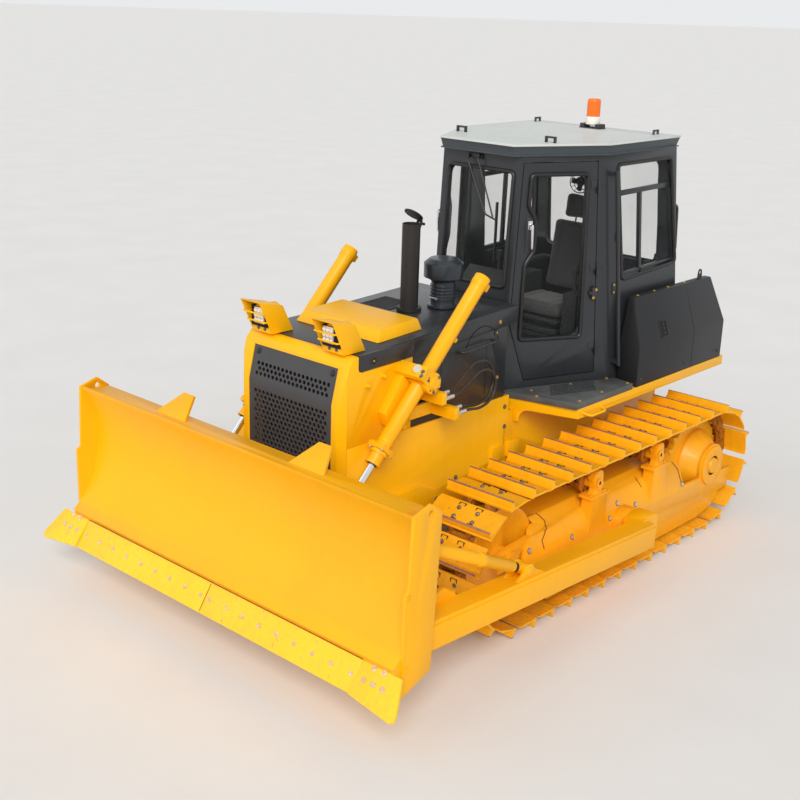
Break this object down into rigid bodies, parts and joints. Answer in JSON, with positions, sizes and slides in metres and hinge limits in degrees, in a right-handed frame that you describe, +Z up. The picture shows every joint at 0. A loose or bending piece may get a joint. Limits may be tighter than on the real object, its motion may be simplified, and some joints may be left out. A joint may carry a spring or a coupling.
{
  "type": "crawler bulldozer",
  "caption": "Crawler bulldozer with steel tracks, closed cab, straight raised blade on push arms and two lift cylinders.",
  "frame": {"origin": "bottom centre of the whole machine, on the ground", "axes": "+X forward towards the blade, +Y to the machine's left, +Z up"},
  "size_m": [4.7, 3.185, 3.12],
  "materials": {
    "yellow_paint": "gloss enamel",
    "track_paint": "satin enamel",
    "black_paint": "satin enamel",
    "cast_engine": "rough",
    "chrome_rod": "polished",
    "window_glass": "clear",
    "hose_rubber": "matte",
    "fitting_steel": "gloss enamel",
    "seat_cloth": "woven",
    "cab_plastic": "grained",
    "beacon_lens": "clear tinted",
    "exhaust_black": "matte heat-proof"
  },
  "bodies": {
    "root": {"main_frame": "yellow_paint", "drawbar": "yellow_paint", "engine_block": "cast_engine", "radiator_guard": "yellow_paint", "radiator_grille": "black_paint", "hood": "black_paint", "hood_cover": "yellow_paint", "hood_side_panels": "black_paint", "exhaust": "exhaust_black", "air_cleaner": "black_paint", "headlamps": "yellow_paint", "cab": "black_paint", "cab_windows": "window_glass", "cab_roof": "black_paint", "beacon": "beacon_lens", "seat": "seat_cloth", "operator_consoles": "cab_plastic", "rear_tank": "black_paint", "track_left": "track_paint", "idler_left": "track_paint", "rollers_left": "track_paint", "track_frame_left": "track_paint", "final_drive_left": "track_paint", "fender_left": "yellow_paint", "tread_plate_left": "black_paint", "side_box_left": "black_paint", "grab_rails_left": "black_paint", "cylinder_yoke_left": "yellow_paint", "hose_fittings_left": "fitting_steel", "lift_hoses_left": "hose_rubber", "track_right": "track_paint", "idler_right": "track_paint", "rollers_right": "track_paint", "track_frame_right": "track_paint", "final_drive_right": "track_paint", "fender_right": "yellow_paint", "tread_plate_right": "black_paint", "side_box_right": "black_paint", "grab_rails_right": "black_paint", "cylinder_yoke_right": "yellow_paint", "hose_fittings_right": "fitting_steel", "lift_hoses_right": "hose_rubber"},
    "blade": {"blade": "yellow_paint", "cutting_edges": "yellow_paint", "push_arm_left": "yellow_paint", "push_arm_right": "yellow_paint", "screw_brace": "yellow_paint", "tilt_cylinder": "yellow_paint"},
    "lift_cylinder_left": {"lift_cylinder_left": "yellow_paint"},
    "lift_rod_left": {"lift_rod_left": "chrome_rod"},
    "door_left": {"door_left": "black_paint", "door_glass_left": "window_glass"},
    "lift_cylinder_right": {"lift_cylinder_right": "yellow_paint"},
    "lift_rod_right": {"lift_rod_right": "chrome_rod"},
    "door_right": {"door_right": "black_paint", "door_glass_right": "window_glass"},
    "rain_cap": {"rain_cap": "exhaust_black"}
  },
  "joints": [
    {"name": "blade_lift", "type": "hinge", "parent": "root", "child": "blade", "pos_m": [-0.485, 0, 0.422], "axis": [0, -1, 0], "range_deg": [-13.4, 13]},
    {"name": "lift_swing_left", "type": "hinge", "parent": "root", "child": "lift_cylinder_left", "pos_m": [1.031, 0.57, 1.6], "axis": [0, -1, 0], "range_deg": [-16.5, 16]},
    {"name": "lift_extend_left", "type": "slide", "parent": "lift_cylinder_left", "child": "lift_rod_left", "axis": [0.6985, 0, -0.7156], "range_m": [-0.44, 0.45]},
    {"name": "door_swing_left", "type": "hinge", "parent": "root", "child": "door_left", "pos_m": [-0.74943, 0.63875, 1.29923], "axis": [0.0453, -0.0382, 0.9982], "range_deg": [0, 110]},
    {"name": "lift_swing_right", "type": "hinge", "parent": "root", "child": "lift_cylinder_right", "pos_m": [1.031, -0.57, 1.6], "axis": [0, -1, 0], "range_deg": [-16.5, 16]},
    {"name": "lift_extend_right", "type": "slide", "parent": "lift_cylinder_right", "child": "lift_rod_right", "axis": [0.6985, 0, -0.7156], "range_m": [-0.44, 0.45]},
    {"name": "door_swing_right", "type": "hinge", "parent": "root", "child": "door_right", "pos_m": [-0.74943, -0.63875, 1.29923], "axis": [-0.0453, -0.0382, -0.9982], "range_deg": [0, 110]},
    {"name": "rain_cap_swing", "type": "hinge", "parent": "root", "child": "rain_cap", "pos_m": [0.454, 0, 2.414], "axis": [0, 1, 0], "range_deg": [-30, 38]}
  ],
  "couplings": [
    {"joint": "lift_swing_left", "follows": "blade_lift", "ratio": 1.18},
    {"joint": "lift_extend_left", "follows": "blade_lift", "m_per_rad": -1.876},
    {"joint": "lift_swing_right", "follows": "blade_lift", "ratio": 1.18},
    {"joint": "lift_extend_right", "follows": "blade_lift", "m_per_rad": -1.876}
  ]
}
